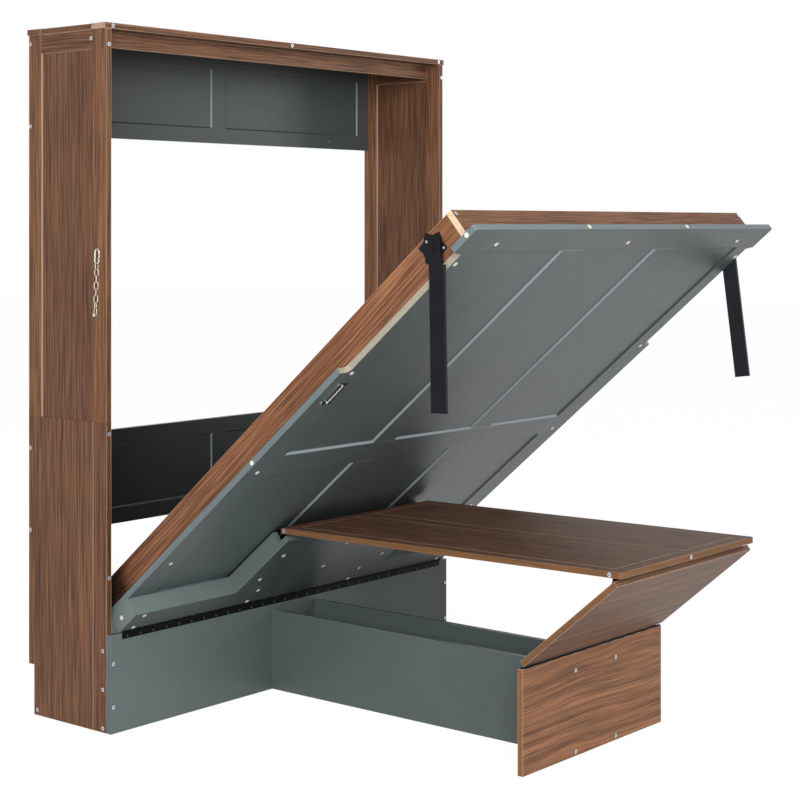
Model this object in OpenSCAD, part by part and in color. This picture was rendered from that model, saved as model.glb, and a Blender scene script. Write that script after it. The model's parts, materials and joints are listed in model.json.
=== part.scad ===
// Wall bed with a fold-down desk on a T-shaped base.
// The origin is the middle of the underside of the front rail, on the floor; X runs to the right
// as seen from the front, Y runs to the wall and Z runs up. The bed opens towards -Y.
// Drawn with the bed part way down, the desktop level and both legs hanging.

/* [Cabinet] */
// Outer width over the two side panels
cab_w = 1704; // [1680:2:1760]
// Height from the floor to the top of the top panel
cab_h = 2240; // [2200:5:2300]
// Depth of the side panels from front edge to back edge
cab_d = 383; // [340:1:420]
// Thickness of the corner cleats behind the front rail
cleat_t = 33; // [25:1:36]
// Width of the corner cleats
cleat_w = 40; // [36:1:60]
// Thickness of the boards
board = 19; // [18:0.5:20]
// How far the two long pieces of the top panel stand out over the side panels
top_over = 7; // [2:1:12]
// Width of the frame pieces of the side panels
stile_w = 65; // [50:1:80]
// Height of the flush lower board of the side panels
low_board = 976; // [900:2:1040]
// Depth of the recessed fields
recess = 3; // [2:0.5:5]
// Width of the sloping border round the fields of the back panels
back_run = 5; // [2:0.5:8]
// Height of the two back panels
back_h = 323; // [280:1:360]
// Height of the underside of the lower back panel
low_back_z = 578; // [540:2:620]
// Height of the rail under the top panel
valance_h = 53; // [48:1:60]
// Skirting notch at the foot of the side panels, depth
notch_d = 27; // [15:1:40]
// Skirting notch at the foot of the side panels, height
notch_h = 163; // [100:1:200]

/* [Base] */
// Height of the front rail and of the end panel
rail_h = 311; // [300:1:330]
// Distance from the front rail to the outer face of the end panel
reach = 1251; // [1200:1:1300]
// Height of the two stretchers
stretch_h = 273; // [220:1:290]
// Distance from the middle to the middle of a stretcher
stretch_x = 110; // [80:1:160]
// How much wider the end panel is than the desktop
end_more = 2; // [0:2:20]

/* [Bed] */
// Tilt of the bed above horizontal as drawn
bed_tilt = 40.2; // [38:0.1:43]
// Gap between the panel under the bed and the side panels of the cabinet
panel_gap = 13; // [10:1:20]
// Thickness of the panel under the bed
panel_t = 18; // [16:0.5:19]
// Depth of the recessed fields of this panel
field_deep = 5; // [2:0.5:6]
// Width of the sloping border round each of these fields
field_run = 8; // [2:0.5:12]
// Strip of the panel left outside the side rails, where the legs hang
leg_space = 37; // [34:1:40]
// How far the bed reaches behind its hinge
foot_back = 228; // [200:2:240]
// Height of the bed rails
side_h = 97; // [80:1:105]
// How far the panel stands out beyond the head rail
head_over = 54; // [45:1:70]
// Height of the raised T-shaped box on the panel
box_h = 60; // [60:0.5:64]
// Width of the cross strip of the box
strip_w = 104; // [90:1:120]
// How much narrower the stem of the box is than the desktop
stem_less = 8; // [4:2:20]
// Width of the cross battens that stiffen the panel
batten_w = 90; // [60:1:120]

/* [Desk] */
// Width of the desktop and of the prop panel
desk_w = 758; // [740:2:760]
// Thickness of the desktop
desk_t = 18; // [16:0.5:18]
// Distance from the bed hinge to the desk hinge, along the bed
arm = 412; // [395:1:430]
// How far the desktop reaches beyond the prop hinge
desk_nose = 36; // [25:1:45]
// How far the desktop reaches back behind its inner hinge
desk_heel = 13; // [8:1:16]
// Width of the frame pieces of the desktop
desk_stile = 45; // [35:1:60]
// Radius of the outer corners of the desktop
desk_r = 10; // [6:1:16]
// Width and depth of the groove round the fields of the desktop
desk_groove = 2.5; // [1:0.5:4]

/* [Hinges] */
// Radius of a hinge barrel
barrel_r = 3; // [2.5:0.1:3]
// Radius of a hinge pin
pin_r = 1.5; // [1.2:0.1:1.7]
// Play between pin and barrel
pin_play = 0.08; // [0.04:0.01:0.1]
// Thickness of a hinge leaf
leaf_t = 1.5; // [1.2:0.1:1.5]
// Width of a hinge leaf
leaf_w = 20; // [14:1:20]
// Width of the bed hinge leaf that lies on the box
box_leaf_w = 9.5; // [8:0.5:10]
// Length of one knuckle
knuckle = 35; // [30:1:40]
// Length of the bed hinge
bed_hinge_l = 1610; // [1540:70:1610]
// Length of the desk hinges
desk_hinge_l = 735; // [665:70:735]

/* [Legs] */
// Distance of the leg pivot from the head edge of the panel
leg_in = 168; // [160:1:178]
// Place of the leg pivot above the lower edge of the rails
leg_up = 53; // [48:1:58]
// Width of the leg tube
leg_w = 53; // [40:1:56]
// Thickness of the leg tube
leg_t = 8; // [6:1:12]
// How far the tube stands off the pivot
leg_off = 23; // [21:1:26]
// How much nearer the foot of the bed the right leg pivot sits
leg_step = 10; // [0:1:12]
// How far the right leg leans outwards as drawn
right_lean = 7.5; // [0:0.5:12]
// Lean of the left leg in degrees
left_lean = 1; // [0:0.5:3]

/* [Fittings] */
// Radius of a bolt head
bolt_r = 6.5; // [5:0.5:7]
// How far a bolt head stands out
bolt_head = 2; // [1.5:0.1:3]
// Radius of a bolt shank
shank_r = 3; // [2.5:0.1:3.5]
// Play round a shank
shank_play = 0.1; // [0.05:0.01:0.3]
// Length of a bolt shank
shank_l = 26; // [22:1:32]
// Distance between the posts of the pull handle
handle_l = 88; // [64:1:128]
// Width of the flat bar of the pull handle
handle_w = 10; // [8:1:14]
// How far the bar of the pull handle stands off the panel
handle_off = 7; // [6:1:16]
// Radius of a wall fixing hole
wall_hole_r = 4; // [3:0.5:5]
// Distance of a wall fixing hole from the middle
wall_hole_x = 600; // [400:10:700]
// Number of links in the safety chain
links = 8; // [6:2:10]
// Lean of the chain towards the wall
chain_lean = 2.5; // [0:0.5:4]
// How far the middle links are turned about the chain
chain_twist = 45; // [0:5:45]
// Wire radius of a chain link
wire_r = 1.3; // [1:0.1:1.4]

/* [Hidden] */
$fn = 48;
eps = 0.01;
front_y = board / 2;
back_y = front_y + cab_d;
in_x = cab_w / 2 - board;
panel_w = 2 * (in_x - panel_gap);
end_w = desk_w + end_more;
stem_w = desk_w - stem_less;
bed_w = panel_w - 2 * (leg_space + board);
top_z = cab_h - board;
valance_y = front_y + 63;
valance_z = top_z - valance_h;
hinge_y = -board / 2 - barrel_r;
hinge_z = rail_h + 1;
box_y = barrel_r;
face_y = box_y + box_h;
deck_y = face_y + panel_t;
edge_y = deck_y + side_h;
head_s = top_z - 5 - hinge_z;
rail_s = head_s - head_over;
foot_s = -foot_back;
bed_l = rail_s - foot_s - 2 * board;
frame_x = bed_w / 2 + board;
arm_y = box_y + board + 3.5;
turn = 90 - bed_tilt;
desk_y = hinge_y + arm_y * cos(turn) - arm * sin(turn);
desk_z = hinge_z + arm_y * sin(turn) + arm * cos(turn);
heel_gap = 4;
nose_gap = 14;
prop_y = -board / 2 - reach - 1.5;
prop_z = rail_h + 4;
span = sqrt(pow(hinge_y - prop_y, 2) + pow(prop_z - hinge_z, 2));
rise = atan2(prop_z - hinge_z, hinge_y - prop_y);
lift = asin((nose_gap - heel_gap) / span);
desk_tilt = rise + lift;
nose_y = -span * cos(lift);
leg_s = head_s - leg_in;
leg_y = deck_y + leg_up;
leg_l = hinge_z + leg_y;
// the leg pivots in the fixed frame; step is how far the pivot is moved towards the foot
function leg_py(step) = hinge_y + leg_y * cos(turn) - (leg_s - step) * sin(turn);
function leg_pz(step) = hinge_z + leg_y * sin(turn) + (leg_s - step) * cos(turn);
plate_t = 3;
leg_x = frame_x + 2 * plate_t + 0.5;
cut_x = frame_x;
cut_lo = leg_s - leg_step - leg_l - 7;
cut_hi = leg_s + 63;
cut_r = 19;
panel_stile = 108;
panel_bar = 105;
cross_lo = head_s * 0.395;
cross_hi = cross_lo + panel_bar;
head_band = 97;
back_bar = 53;
bolt_in = 14;
cap_x = panel_w / 2 - 53;
handle_x = panel_w / 2 - 60;
handle_s = head_s * 0.6155;
chain_y = front_y + stile_w / 2 + 3.5;
chain_z = low_board + 544;

walnut = [0.40, 0.27, 0.20];
grey = [0.38, 0.42, 0.42];
raw = [0.80, 0.66, 0.48];
black = [0.10, 0.10, 0.11];
zinc = [0.72, 0.74, 0.76];
white = [0.88, 0.87, 0.84];

// ---- shared frames and shapes ----
module on_bed() translate([0, hinge_y, hinge_z]) rotate([turn, 0, 0]) children();
module on_prop() translate([0, prop_y, prop_z]) rotate([turn, 0, 0]) children();
module on_desk() translate([0, desk_y, desk_z]) rotate([-desk_tilt, 0, 0]) children();
module both() { children(); mirror([1, 0, 0]) children(); }
module box3(x0, x1, y0, y1, z0, z1) translate([x0, y0, z0]) cube([x1 - x0, y1 - y0, z1 - z0]);

// the room of a field sunk into a face at y = 0, with borders that slope in over run
module sunk_field(x0, x1, z0, z1, deep, run) {
  w = x1 - x0;
  h = z1 - z0;
  slope = atan2(run, deep);
  translate([(x0 + x1) / 2, 0, (z0 + z1) / 2]) difference() {
    box3(-w / 2, w / 2, -1, deep, -h / 2, h / 2);
    for (s = [0, 180]) rotate([0, s, 0]) {
      translate([w / 2, 0, 0]) rotate([0, 0, slope]) box3(0, 40, -40, 40, -h, h);
      translate([0, 0, h / 2]) rotate([-slope, 0, 0]) box3(-w, w, -40, 40, 0, 40);
    }
  }
}

// a bolt along +Y with its head standing out towards -Y from the face at y = 0
module bolt(l = shank_l) {
  difference() {
    rotate([90, 0, 0]) cylinder(r = bolt_r, h = bolt_head);
    translate([0, -bolt_head - eps, 0]) rotate([-90, 0, 0]) cylinder(r = 3.2, h = 1.4, $fn = 6);
  }
  translate([0, -eps, 0]) rotate([-90, 0, 0]) cylinder(r = shank_r, h = l, $fn = 24);
}
module bolt_hole() translate([0, -eps, 0]) rotate([-90, 0, 0])
  cylinder(r = shank_r + shank_play, h = shank_l + 1, $fn = 24);

// where the bolts of the cabinet go; each child is set with its face at y = 0 and its depth along +Y
side_bolt_y = back_y - board / 2;
module side_face_spots() {
  for (z = [low_back_z + 24, low_back_z + back_h - 30, top_z - back_h + 26, top_z - 28])
    translate([-cab_w / 2, side_bolt_y, z]) rotate([0, 0, -90]) children();
  translate([-cab_w / 2, valance_y + board / 2, top_z - 28]) rotate([0, 0, -90]) children();
  for (z = [bolt_in, rail_h * 0.437, rail_h - back_bar])
    translate([-cab_w / 2, front_y + cleat_t / 2, z]) rotate([0, 0, -90]) children();
}
// low at the back, just in front of the skirting notch
module side_foot_spot() translate([-cab_w / 2, back_y - notch_d - 19, bolt_in + 4])
  rotate([0, 0, -90]) children();
module side_edge_spots() for (z = [low_board / 2, low_board - 34, top_z - 50])
  translate([-cab_w / 2 + 8.5, front_y, z]) children();
module top_edge_spots() for (x = [-1, 0, 1])
  translate([x * (cab_w / 2 - 25), front_y, top_z + board / 2]) children();
module rail_spots() for (z = [rail_h * 0.27, rail_h - 91])
  translate([-cab_w / 2 + 9.5, -board / 2, z]) children();
module end_spots() for (z = [bolt_in, stretch_h - bolt_in])
  translate([-stretch_x, -board / 2 - reach, z]) children();
module head_spots() for (y = [deck_y + 18, edge_y - 14])
  translate([-frame_x + 9.5, y, rail_s]) rotate([-90, 0, 0]) children();
module desk_side_spots() for (y = [0, nose_y + 2])
  translate([-desk_w / 2, y, heel_gap + desk_t / 2]) rotate([0, 0, -90]) children();

// ---- cabinet ----
module side_panel() {
  y0 = front_y + stile_w;
  y1 = back_y - stile_w;
  difference() {
    box3(-cab_w / 2, -in_x, front_y, back_y, 0, top_z);
    box3(-cab_w, 0, back_y - notch_d, back_y + 1, -1, notch_h);
    for (x = [-cab_w / 2 - 1, -in_x - recess])
      box3(x, x + recess + 1, y0, y1, low_board, top_z - stile_w + 3);
    box3(-cab_w / 2 - 1, -cab_w / 2 + 1, y0 - 0.75, y0 + 0.75, -1, low_board);
    side_face_spots() bolt_hole();
    side_foot_spot() bolt_hole();
    side_edge_spots() bolt_hole();
    rail_spots() bolt_hole();
  }
}
module left_side_panel() color(walnut) side_panel();
module right_side_panel() color(walnut) mirror([1, 0, 0]) side_panel();

module top_panel() color(walnut) difference() {
  box3(-cab_w / 2 - top_over, cab_w / 2 + top_over, front_y, back_y, top_z, cab_h);
  both() box3(cab_w / 2, cab_w, front_y + stile_w, back_y - stile_w, top_z - 1, cab_h + 1);
  box3(-cab_w / 2 + stile_w, cab_w / 2 - stile_w, front_y + stile_w, back_y - stile_w,
    cab_h - recess, cab_h + 1);
  top_edge_spots() bolt_hole();
}

module valance_rail() color(walnut) difference() {
  box3(-in_x, in_x, valance_y, valance_y + board, valance_z, top_z);
  both() side_face_spots() bolt_hole();
}

module back_panel(z) difference() {
  box3(-in_x, in_x, back_y - board, back_y, z, z + back_h);
  both() translate([0, back_y - board, z])
    sunk_field(34, in_x - stile_w, back_bar, back_h - back_bar, recess, back_run);
  both() side_face_spots() bolt_hole();
}
module wall_holes(z) for (x = [-wall_hole_x, wall_hole_x])
  translate([x, 0, z]) rotate([-90, 0, 0]) cylinder(r = wall_hole_r, h = back_y + 1);
module upper_back_panel() color(grey) difference() {
  back_panel(top_z - back_h);
  wall_holes(top_z - back_h + back_bar / 2);
}
module lower_back_panel() color(grey) difference() {
  back_panel(low_back_z);
  wall_holes(low_back_z + back_h - back_bar / 2);
}

module front_rail() color(grey) difference() {
  box3(-cab_w / 2, cab_w / 2, -board / 2, front_y, 0, rail_h);
  both() rail_spots() bolt_hole();
}
module corner_cleat() difference() {
  box3(-in_x, -in_x + cleat_w, front_y, front_y + cleat_t, 0, rail_h - 18);
  side_face_spots() bolt_hole();
}
module left_corner_cleat() color(grey) corner_cleat();
module right_corner_cleat() color(grey) mirror([1, 0, 0]) corner_cleat();

module stretcher() difference() {
  box3(-stretch_x - board / 2, -stretch_x + board / 2, board / 2 - reach, -board / 2, 0, stretch_h);
  end_spots() bolt_hole();
}
module left_stretcher() color(grey) stretcher();
module right_stretcher() color(grey) mirror([1, 0, 0]) stretcher();

module end_panel() color(walnut) difference() {
  box3(-end_w / 2, end_w / 2, -board / 2 - reach, board / 2 - reach, 0, rail_h);
  both() end_spots() bolt_hole();
}

// ---- hinges ----
// barrels of one leaf: kind 0 carries the pin, kind 1 turns on it
module barrels(len, kind) {
  n = round(len / knuckle);
  for (i = [0:n - 1]) if (i % 2 == kind) translate([-len / 2 + i * knuckle + 0.25, 0, 0])
    rotate([0, 90, 0]) difference() {
      cylinder(r = barrel_r, h = knuckle - 0.5, $fn = 32);
      if (kind == 1) translate([0, 0, -1]) cylinder(r = pin_r + pin_play, h = knuckle + 2, $fn = 32);
    }
  if (kind == 0) translate([-len / 2 + 0.5, 0, 0]) rotate([0, 90, 0])
    cylinder(r = pin_r, h = len - 1, $fn = 32);
}
// tabs that join the leaf to its own barrels: a plate from a to b across the barrel line
module tabs(len, kind, y0, y1, z0, z1) {
  n = round(len / knuckle);
  for (i = [0:n - 1]) if (i % 2 == kind) translate([-len / 2 + i * knuckle + 0.25, 0, 0])
    difference() {
      box3(0, knuckle - 0.5, y0, y1, z0, z1);
      translate([-1, 0, 0]) rotate([0, 90, 0]) cylinder(r = pin_r + 0.6, h = knuckle + 2, $fn = 32);
    }
}

module bed_hinge_rail_leaf() color(black) translate([0, hinge_y, hinge_z]) {
  barrels(bed_hinge_l, 0);
  tabs(bed_hinge_l, 0, barrel_r - leaf_t, barrel_r, -barrel_r - 0.6, 0);
  box3(-bed_hinge_l / 2, bed_hinge_l / 2, barrel_r - leaf_t, barrel_r, -leaf_w, -barrel_r - 0.5);
}
module bed_hinge_box_leaf() color(black) on_bed() {
  barrels(bed_hinge_l, 1);
  tabs(bed_hinge_l, 1, barrel_r - leaf_t, barrel_r, 0, barrel_r + 0.6);
  box3(-bed_hinge_l / 2, bed_hinge_l / 2, barrel_r - leaf_t, barrel_r, barrel_r + 0.5, box_leaf_w);
}
// leaf on the back of a board whose back face is 3.5 behind the pin
module arm_leaf(kind) translate([0, arm_y, arm]) {
  barrels(desk_hinge_l, kind);
  tabs(desk_hinge_l, kind, -3.5, -3.5 + leaf_t, -barrel_r - 0.6, -0.5);
  box3(-desk_hinge_l / 2, desk_hinge_l / 2, -3.5, -3.5 + leaf_t, -leaf_w, -barrel_r - 0.5);
}
module desk_hinge_box_leaf() color(black) on_bed() arm_leaf(0);
module nose_hinge_prop_leaf() color(black) on_prop() arm_leaf(1);
module desk_hinge_desk_leaf() color(black) on_desk() {
  barrels(desk_hinge_l, 1);
  tabs(desk_hinge_l, 1, -barrel_r - 0.6, -0.5, heel_gap - leaf_t, heel_gap);
  box3(-desk_hinge_l / 2, desk_hinge_l / 2, -leaf_w, -barrel_r - 0.5, heel_gap - leaf_t, heel_gap);
}
module nose_hinge_desk_leaf() color(black) on_desk() {
  translate([0, nose_y, heel_gap - nose_gap]) {
    barrels(desk_hinge_l, 0);
    tabs(desk_hinge_l, 0, -leaf_t, 0.5, 1, barrel_r + 0.6);
    box3(-desk_hinge_l / 2, desk_hinge_l / 2, -leaf_t, 0.5, barrel_r + 0.5, nose_gap);
    box3(-desk_hinge_l / 2, desk_hinge_l / 2, 0, leaf_w, nose_gap - leaf_t, nose_gap);
  }
}
module prop_hinge_end_leaf() color(black) translate([0, prop_y, prop_z]) {
  barrels(desk_hinge_l, 0);
  tabs(desk_hinge_l, 0, 0, barrel_r + 0.6, -4, -4 + leaf_t);
  box3(-desk_hinge_l / 2, desk_hinge_l / 2, barrel_r + 0.5, leaf_w, -4, -4 + leaf_t);
}
module prop_hinge_prop_leaf() color(black) on_prop() {
  barrels(desk_hinge_l, 1);
  tabs(desk_hinge_l, 1, 0, barrel_r + 0.6, 4 - leaf_t, 4);
  box3(-desk_hinge_l / 2, desk_hinge_l / 2, barrel_r + 0.5, leaf_w, 4 - leaf_t, 4);
}

// ---- bolts of the fixed parts ----
module cabinet_bolts() color(zinc) {
  both() {
    side_face_spots() bolt();
    side_foot_spot() bolt(board - 1);
    side_edge_spots() bolt();
  }
  top_edge_spots() bolt();
}
module base_bolts() color(zinc) both() {
  rail_spots() bolt();
  end_spots() bolt();
}

// ---- safety chain on the left side panel ----
// an oval ring of wire in the YZ plane, long axis along Z; far sets the straight length
module oval(far, r, wire) {
  for (s = [-1, 1]) translate([0, s * r, -far / 2]) cylinder(r = wire, h = far, $fn = 24);
  for (s = [-1, 1]) translate([0, 0, s * far / 2]) rotate([0, 90, 0]) rotate_extrude(
    angle = 180, start = s > 0 ? 90 : -90, $fn = 32) translate([r, 0]) circle(r = wire, $fn = 16);
}
hook_far = 26;
hook_r = 9.5;
hook_wire = 2.5;
eye_r = 1.8;
gate_low = -7;
link_r = 6;
link_far = 12;
link_pitch = link_far + 2 * (link_r - wire_r) - 0.5;
hook_drop = hook_far / 2 + hook_r - hook_wire - eye_r - 0.2;
first_link = -hook_drop - hook_far / 2 - hook_r + hook_wire - link_far / 2 - link_r + wire_r + 0.1;
anchor_drop = first_link - (links - 1) * link_pitch - link_far / 2 - link_r + wire_r + 2;
// the chain's own frame: its origin is on the axis of the eye, -Z runs along the chain
module on_chain() translate([-cab_w / 2 - 8, chain_y, chain_z]) rotate([chain_lean, 0, 0])
  children();
module chain_eye() color(zinc) on_chain() rotate([0, 90, 0]) {
  translate([0, 0, 6.5]) cylinder(r = 5, h = 1.5);
  translate([0, 0, -6]) cylinder(r = eye_r, h = 14);
  translate([0, 0, -6.5]) cylinder(r = 3.6, h = 2);
}
function link_turn(i) = (i % 2 == 0 ? 90 : 0) + chain_twist * min(1, i / 2, (links - 1 - i) / 2);
module safety_chain() color(zinc) on_chain() for (i = [0:links - 1])
  translate([0, 0, first_link - i * link_pitch]) rotate([0, 0, link_turn(i)])
    oval(link_far, link_r, wire_r);
// snap hook: an oval open on its front side, with two cheeks that hold the gate's pin
module snap_hook() color(zinc) on_chain() translate([0, 0, -hook_drop]) difference() {
  union() {
    difference() {
      oval(hook_far, hook_r, hook_wire);
      box3(-4, 4, -14, -4, -9.6, 9.2);
    }
    for (x = [-3.4, 2.2]) box3(x, x + 1.2, -hook_r - 2.4, -hook_r + 2.4, -13, gate_low + 2.4);
  }
  translate([-4, -hook_r, gate_low]) rotate([0, 90, 0]) cylinder(r = 0.88, h = 8, $fn = 24);
}
module hook_gate() color(zinc) on_chain() translate([0, -hook_r, -hook_drop]) {
  translate([0, 0, gate_low - 1.3]) cylinder(r = 1.7, h = 17.1, $fn = 24);
  translate([-3.8, 0, gate_low]) rotate([0, 90, 0]) cylinder(r = 0.8, h = 7.6, $fn = 24);
}
module chain_anchor() color(zinc) on_chain() translate([0, 0, anchor_drop]) rotate([0, 90, 0]) {
  translate([0, 0, -6]) cylinder(r = 6, h = 2);
  translate([0, 0, -4.5]) cylinder(r = 1.9, h = 12.5);
  translate([0, 0, 6.5]) cylinder(r = 5, h = 1.5);
}

// ---- bed ----
module panel_outline() difference() {
  box3(-panel_w / 2, panel_w / 2, face_y, deck_y, foot_s, head_s);
  both() translate([0, face_y - 1, 0]) rotate([-90, 0, 0]) linear_extrude(panel_t + 2)
    polygon(concat([[panel_w / 2 + 1, -cut_lo]], [for (a = [0:15:90])
      [cut_x + cut_r * (1 - sin(a)), -cut_lo - cut_r * (1 - cos(a))]],
      [[cut_x, -cut_hi], [panel_w / 2 + 1, -cut_hi - 7]]));
  both() translate([panel_w / 2, face_y - 1, head_s]) rotate([0, 45, 0]) cube([9, 40, 9],
    center = true);
}
fields_w = (panel_w - 2 * panel_stile - 2 * panel_bar) / 3;
module underside_panel() color(grey) on_bed() difference() {
  panel_outline();
  for (i = [-1:1], rows = [[strip_w - board / 2, cross_lo], [cross_hi, head_s - head_band]])
    translate([i * (fields_w + panel_bar), face_y, 0])
      sunk_field(-fields_w / 2, fields_w / 2, rows[0], rows[1], field_deep, field_run);
}
module bed_rail() box3(-frame_x, -bed_w / 2, deck_y, edge_y, foot_s + board, rail_s - board);
module left_bed_rail() color(walnut) on_bed() difference() {
  bed_rail();
  head_spots() bolt_hole();
}
module right_bed_rail() color(walnut) on_bed() mirror([1, 0, 0]) difference() {
  bed_rail();
  head_spots() bolt_hole();
}
module head_rail() color(walnut) on_bed() difference() {
  box3(-frame_x, frame_x, deck_y, edge_y, rail_s - board, rail_s);
  both() head_spots() bolt_hole();
}
module foot_rail() color(walnut) on_bed()
  box3(-frame_x, frame_x, deck_y, edge_y, foot_s, foot_s + board);
module cross_batten(i) {
  s = foot_s + board + (i + 0.5) * bed_l / 3 - batten_w / 2;
  color(raw) on_bed() box3(-bed_w / 2, bed_w / 2, deck_y, deck_y + board, s, s + batten_w);
}
module cross_batten_1() cross_batten(0);
module cross_batten_2() cross_batten(1);
module cross_batten_3() cross_batten(2);

module box_strip_board() color(grey) on_bed()
  box3(-panel_w / 2, panel_w / 2, box_y, box_y + board, 1, strip_w);
module box_stem_board() color(grey) on_bed()
  box3(-stem_w / 2, stem_w / 2, box_y, box_y + board, strip_w, arm - 1);
module box_end() box3(-panel_w / 2, -panel_w / 2 + board, box_y + board, face_y, 1, strip_w);
module box_left_end() color(grey) on_bed() box_end();
module box_right_end() color(grey) on_bed() mirror([1, 0, 0]) box_end();
module box_edge() difference() {
  box3(-panel_w / 2 + board, -stem_w / 2 + board, box_y + board, face_y, strip_w - board, strip_w);
  translate([-stem_w / 2, 0, strip_w]) rotate([0, -45, 0]) box3(0, 40, 0, 200, -40, 40);
}
module box_left_edge() color(grey) on_bed() box_edge();
module box_right_edge() color(grey) on_bed() mirror([1, 0, 0]) box_edge();
stem_end = arm - 41;
module stem_edge() difference() {
  box3(-stem_w / 2, -stem_w / 2 + board, box_y + board, face_y, strip_w - board, stem_end);
  translate([-stem_w / 2, 0, strip_w]) rotate([0, -45, 0]) box3(-40, 0, 0, 200, -40, 40);
}
module stem_left_edge() color(grey) on_bed() stem_edge();
module stem_right_edge() color(grey) on_bed() mirror([1, 0, 0]) stem_edge();
module box_foot_board() color(grey) on_bed()
  box3(-panel_w / 2 + board, panel_w / 2 - board, box_y + board, face_y, 1, 1 + board);

// leg bracket: a star plate and a disc on the outer face of the rail, with the pivot pin
module star(r1, r2) polygon([for (i = [0:11]) let (r = i % 2 == 0 ? r1 : r2, a = i * 30 + 23)
  [r * cos(a), r * sin(a)]]);
module leg_bracket(step) translate([-frame_x, leg_y, leg_s - step]) rotate([0, -90, 0]) {
  translate([0, 4, 0]) linear_extrude(plate_t) star(50, 35);
  translate([0, 0, plate_t]) cylinder(r = 21, h = plate_t);
  cylinder(r = 5, h = 2 * plate_t + 0.5 + 4 + 1.5);
  translate([0, 0, 2 * plate_t + 0.5 + 4 + 0.5]) cylinder(r = 8, h = 3);
  for (p = [[99, 30], [213, 36], [326, 38]]) rotate(p[0]) translate([p[1], 0, plate_t - 1])
    cylinder(r = 4, h = 2.5);
}
module left_leg_bracket() color(black) on_bed() leg_bracket(0);
module right_leg_bracket() color(black) on_bed() mirror([1, 0, 0]) leg_bracket(leg_step);
// leg hanging from its pivot at the origin, seen on the left side
module leg() {
  difference() {
    translate([-leg_x, 0, 0]) rotate([0, -90, 0]) linear_extrude(4)
      polygon([[34, 10], [34, -leg_off - 7], [-60, -leg_off - 7], [-60, 10]]);
    translate([-leg_x + 1, 0, 0]) rotate([0, -90, 0]) cylinder(r = 5 + pin_play, h = 8);
  }
  difference() {
    box3(-leg_x - leg_t - 4, -leg_x - 4, -leg_off - leg_w / 2, -leg_off + leg_w / 2, -leg_l, -42);
    box3(-leg_x - leg_t - 2, -leg_x - 6, -leg_off - leg_w / 2 + 2, -leg_off + leg_w / 2 - 2,
      -leg_l - 1, -44);
  }
}
module left_leg() color(black) translate([0, leg_py(0), leg_pz(0)]) rotate([-left_lean, 0, 0])
  leg();
module right_leg() color(black) translate([0, leg_py(leg_step), leg_pz(leg_step)])
  rotate([-right_lean, 0, 0]) mirror([1, 0, 0]) leg();

// pull handle near the left edge of the panel: a flat bar on two posts with foot plates
module pull_handle() color(zinc) on_bed() translate([-handle_x, face_y, handle_s]) {
  for (s = [-1, 1]) {
    box3(-20, 20, -2, 0, s * handle_l / 2 - 5, s * handle_l / 2 + 5);
    translate([0, -handle_off, s * (handle_l / 2 - 4)]) rotate([-90, 0, 0])
      cylinder(r = 3.5, h = handle_off);
  }
  box3(-handle_w / 2, handle_w / 2, -handle_off - 2, -handle_off + 2, 4 - handle_l / 2, handle_l / 2 - 4);
}
// white caps over the screws of the panel, and wood plugs in its edges
module cap() rotate([90, 0, 0]) cylinder(r = 7, h = 1.2);
cap_lo = strip_w + 185;
cap_hi = head_s - 147;
cap_edge = 18;
module cover_caps() color(white) on_bed() {
  both() for (i = [0:3]) translate([-cap_x, face_y, cap_lo + i * (cap_hi - cap_lo) / 3]) cap();
  for (x = [-1, 0, 1]) translate([x * (panel_w / 2 - 154), face_y, head_s - head_band * 0.66]) cap();
  both() for (x = [cap_x + 4, stem_w / 2 - 116], s = [cap_edge, strip_w - cap_edge])
    translate([-x, box_y, s]) cap();
  for (x = [-1, 0, 1], s = [strip_w + 63, stem_end - 62])
    translate([x * (stem_w / 2 - 61), box_y, s]) cap();
  both() translate([-panel_w / 2, face_y - 31, strip_w / 2 - 9]) rotate([0, 0, -90]) cap();
  both() for (s = [cross_hi - 32, head_s - 35]) translate([-panel_w / 2, face_y + panel_t / 2, s])
    rotate([0, 0, -90]) cap();
  for (x = [-1, 1]) translate([x * panel_w / 6, face_y + panel_t / 2, head_s])
    rotate([-90, 0, 0]) cap();
}
module bed_bolts() color(zinc) on_bed() both() head_spots() bolt();

// ---- desktop ----
desk_top = heel_gap + desk_t;
nose_end = nose_y - desk_nose;
module desk_stile_board() difference() {
  union() {
    box3(-desk_w / 2, -desk_w / 2 + desk_stile, nose_end + desk_r, desk_heel, heel_gap, desk_top);
    box3(-desk_w / 2 + desk_r, -desk_w / 2 + desk_stile, nose_end, desk_heel, heel_gap, desk_top);
    translate([-desk_w / 2 + desk_r, nose_end + desk_r, heel_gap]) cylinder(r = desk_r, h = desk_t);
  }
  desk_side_spots() bolt_hole();
}
module desk_left_stile() color(walnut) on_desk() desk_stile_board();
module desk_right_stile() color(walnut) on_desk() mirror([1, 0, 0]) desk_stile_board();
module desk_outer_rail() color(walnut) on_desk() difference() {
  box3(-desk_w / 2 + desk_stile, desk_w / 2 - desk_stile, nose_end + 2, nose_end + 2 + desk_stile,
    heel_gap, desk_top);
  translate([0, nose_end + 2, heel_gap + desk_t / 2]) bolt_hole();
}
module desk_inner_rail() color(walnut) on_desk()
  box3(-desk_w / 2 + desk_stile, desk_w / 2 - desk_stile, desk_heel - desk_stile, desk_heel,
    heel_gap, desk_top);
bar_x = 33;
module desk_centre_stile() color(walnut) on_desk()
  box3(-bar_x, bar_x, nose_end + 2 + desk_stile, desk_heel - desk_stile, heel_gap, desk_top);
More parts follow.
